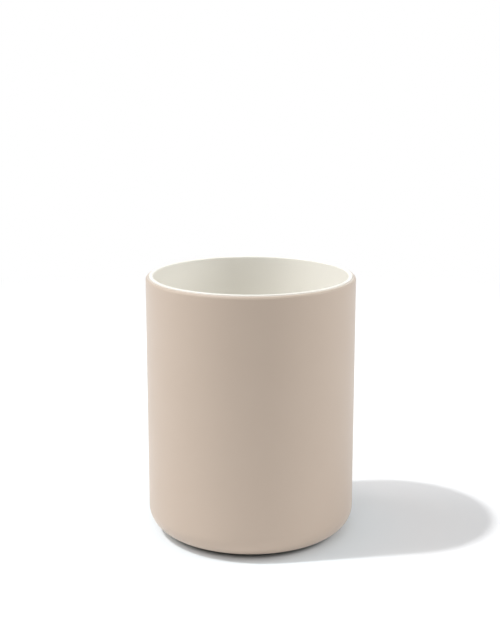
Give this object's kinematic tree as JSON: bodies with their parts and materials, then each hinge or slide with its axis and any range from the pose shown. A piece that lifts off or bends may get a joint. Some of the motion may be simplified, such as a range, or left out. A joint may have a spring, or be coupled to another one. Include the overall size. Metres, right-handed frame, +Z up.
{
  "type": "toothbrush holder",
  "caption": "Round straight-walled bathroom tumbler for toothbrushes, with a rounded base, a soft-touch outer shell and a lift-out inner cup with a pale lip.",
  "frame": {"origin": "centre of the face that the foot ring rests on", "axes": "+Z up along the tumbler's axis, towards the open rim; the pieces are round about it, so +X and +Y are free choices"},
  "size_m": [0.08, 0.08, 0.1012],
  "materials": {
    "soft_touch_beige": "soft-touch matte coat",
    "cream_plastic": "satin",
    "beige_plastic": "fine moulded texture",
    "grey_rubber": "matte",
    "milky_silicone": "smooth"
  },
  "bodies": {
    "shell": {"outer_shell": "soft_touch_beige", "base_cap": "beige_plastic", "foot_ring": "grey_rubber"},
    "cup": {"inner_cup": "cream_plastic", "seal_ring": "milky_silicone"}
  },
  "joints": [
    {"name": "cup_lift", "type": "slide", "parent": "shell", "child": "cup", "axis": [0, 0, 1], "range_m": [0, 0.1]}
  ]
}
